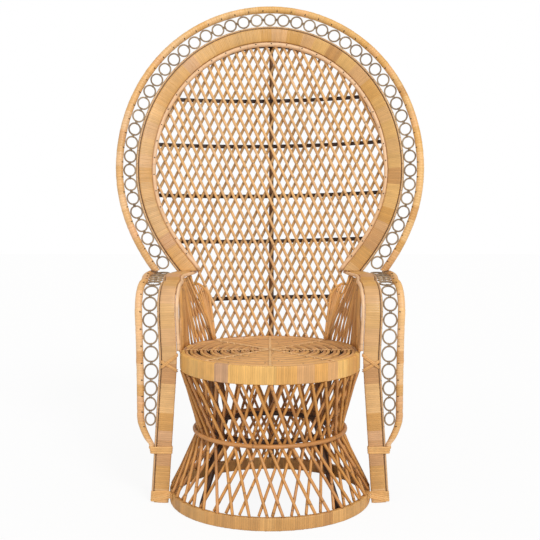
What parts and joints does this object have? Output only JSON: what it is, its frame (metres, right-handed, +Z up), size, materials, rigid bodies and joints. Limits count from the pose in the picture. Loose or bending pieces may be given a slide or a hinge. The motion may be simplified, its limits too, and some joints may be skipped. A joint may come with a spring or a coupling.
{
  "type": "rattan peacock chair",
  "caption": "Rattan peacock chair: a round coiled seat on an hourglass foot of crossed canes, with looped arms and a tall oval fan back of lattice inside a ring border.",
  "frame": {"origin": "floor, under the middle of the outline", "axes": "+Z up, +X to the right as seen from the front, the front faces -Y"},
  "size_m": [0.9262, 0.7088, 1.4574],
  "materials": {
    "wrapped_peel": "flat rattan peel wound closely, satin varnish",
    "round_pole": "peeled rattan pole, satin varnish",
    "woven_cane": "thin round cane, satin varnish",
    "ring_cane": "thin weathered cane, matt",
    "dark_pole": "dark unpeeled pole, satin"
  },
  "bodies": {
    "root": {"arm_band_left": "wrapped_peel", "arm_band_right": "wrapped_peel", "arm_canes_inner_left": "woven_cane", "arm_canes_inner_right": "woven_cane", "arm_canes_outer_left": "woven_cane", "arm_canes_outer_right": "woven_cane", "arm_inner_moulding_left": "round_pole", "arm_inner_moulding_right": "round_pole", "arm_outer_moulding_left": "round_pole", "arm_outer_moulding_right": "round_pole", "arm_pole_left": "dark_pole", "arm_pole_right": "dark_pole", "arm_rim_binding_left": "wrapped_peel", "arm_rim_binding_right": "wrapped_peel", "arm_rim_left": "wrapped_peel", "arm_rim_right": "wrapped_peel", "arm_rings_left": "ring_cane", "arm_rings_right": "ring_cane", "arm_seat_binding_left": "wrapped_peel", "arm_seat_binding_right": "wrapped_peel", "back_canes_front_1": "woven_cane", "back_canes_front_2": "woven_cane", "back_canes_rear_1": "woven_cane", "back_canes_rear_2": "woven_cane", "back_frame_pole": "dark_pole", "back_slat_1": "dark_pole", "back_slat_2": "dark_pole", "back_slat_3": "dark_pole", "back_slat_4": "dark_pole", "back_slat_5": "dark_pole", "base_canes_inner_1": "woven_cane", "base_canes_inner_2": "woven_cane", "base_canes_inner_3": "woven_cane", "base_canes_inner_4": "woven_cane", "base_canes_outer_1": "woven_cane", "base_canes_outer_2": "woven_cane", "base_canes_outer_3": "woven_cane", "base_canes_outer_4": "woven_cane", "base_post_front_left": "dark_pole", "base_post_front_right": "dark_pole", "base_post_rear_left": "dark_pole", "base_post_rear_right": "dark_pole", "fan_band": "wrapped_peel", "fan_inner_moulding": "round_pole", "fan_outer_moulding": "round_pole", "fan_rim": "wrapped_peel", "fan_rings_left": "ring_cane", "fan_rings_right": "ring_cane", "fan_rings_top": "ring_cane", "foot_hoop": "wrapped_peel", "seat_apron": "wrapped_peel", "seat_coil_inner": "round_pole", "seat_coil_outer": "round_pole", "seat_edge_pole": "round_pole", "seat_frame_hoop": "dark_pole", "seat_ribs": "dark_pole", "spine": "dark_pole", "waist_hoop": "dark_pole", "waist_ring": "round_pole"}
  },
  "joints": []
}
